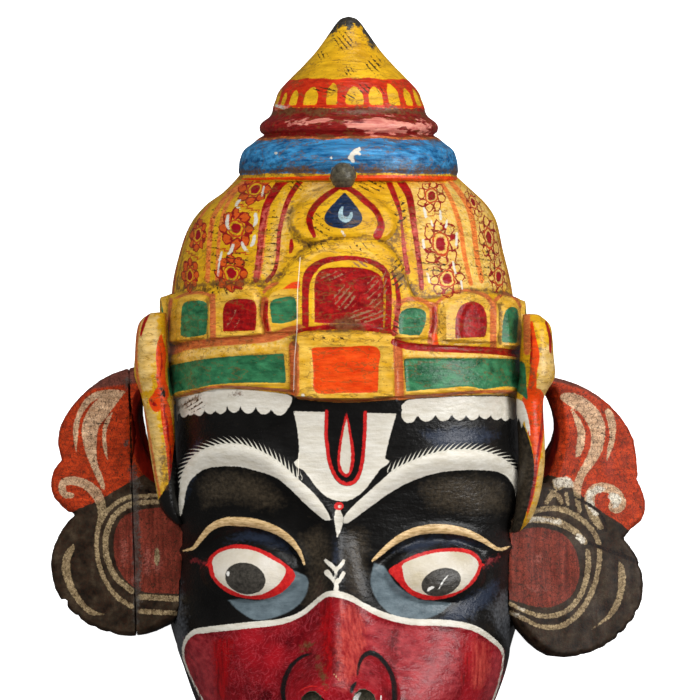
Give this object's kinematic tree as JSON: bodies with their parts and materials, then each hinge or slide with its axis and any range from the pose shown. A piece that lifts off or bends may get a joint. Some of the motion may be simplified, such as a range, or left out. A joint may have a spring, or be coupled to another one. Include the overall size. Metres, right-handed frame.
{
  "type": "hanuman mask",
  "caption": "Carved and painted wooden monkey-god mask with a tall turned crown, long ears and flat disc ear ornaments, hollow behind and lying on its back.",
  "frame": {"origin": "centre of the bounding box in X and Y, on the flat back rim that the mask lies on", "axes": "+X to the viewer's right, +Y along the face to the crown's tip, +Z out of the face and up as it lies"},
  "size_m": [0.3986, 0.566, 0.1698],
  "materials": {
    "painted_wood": "worn enamel paint in yellow, black, red, white, green and blue",
    "painted_board": "worn brick red and black enamel paint with cream brushwork"
  },
  "bodies": {
    "root": {"mask": "painted_wood", "left_ear_ornament_outer": "painted_board", "left_ear_ornament_inner": "painted_board", "right_ear_ornament": "painted_board"}
  },
  "joints": []
}
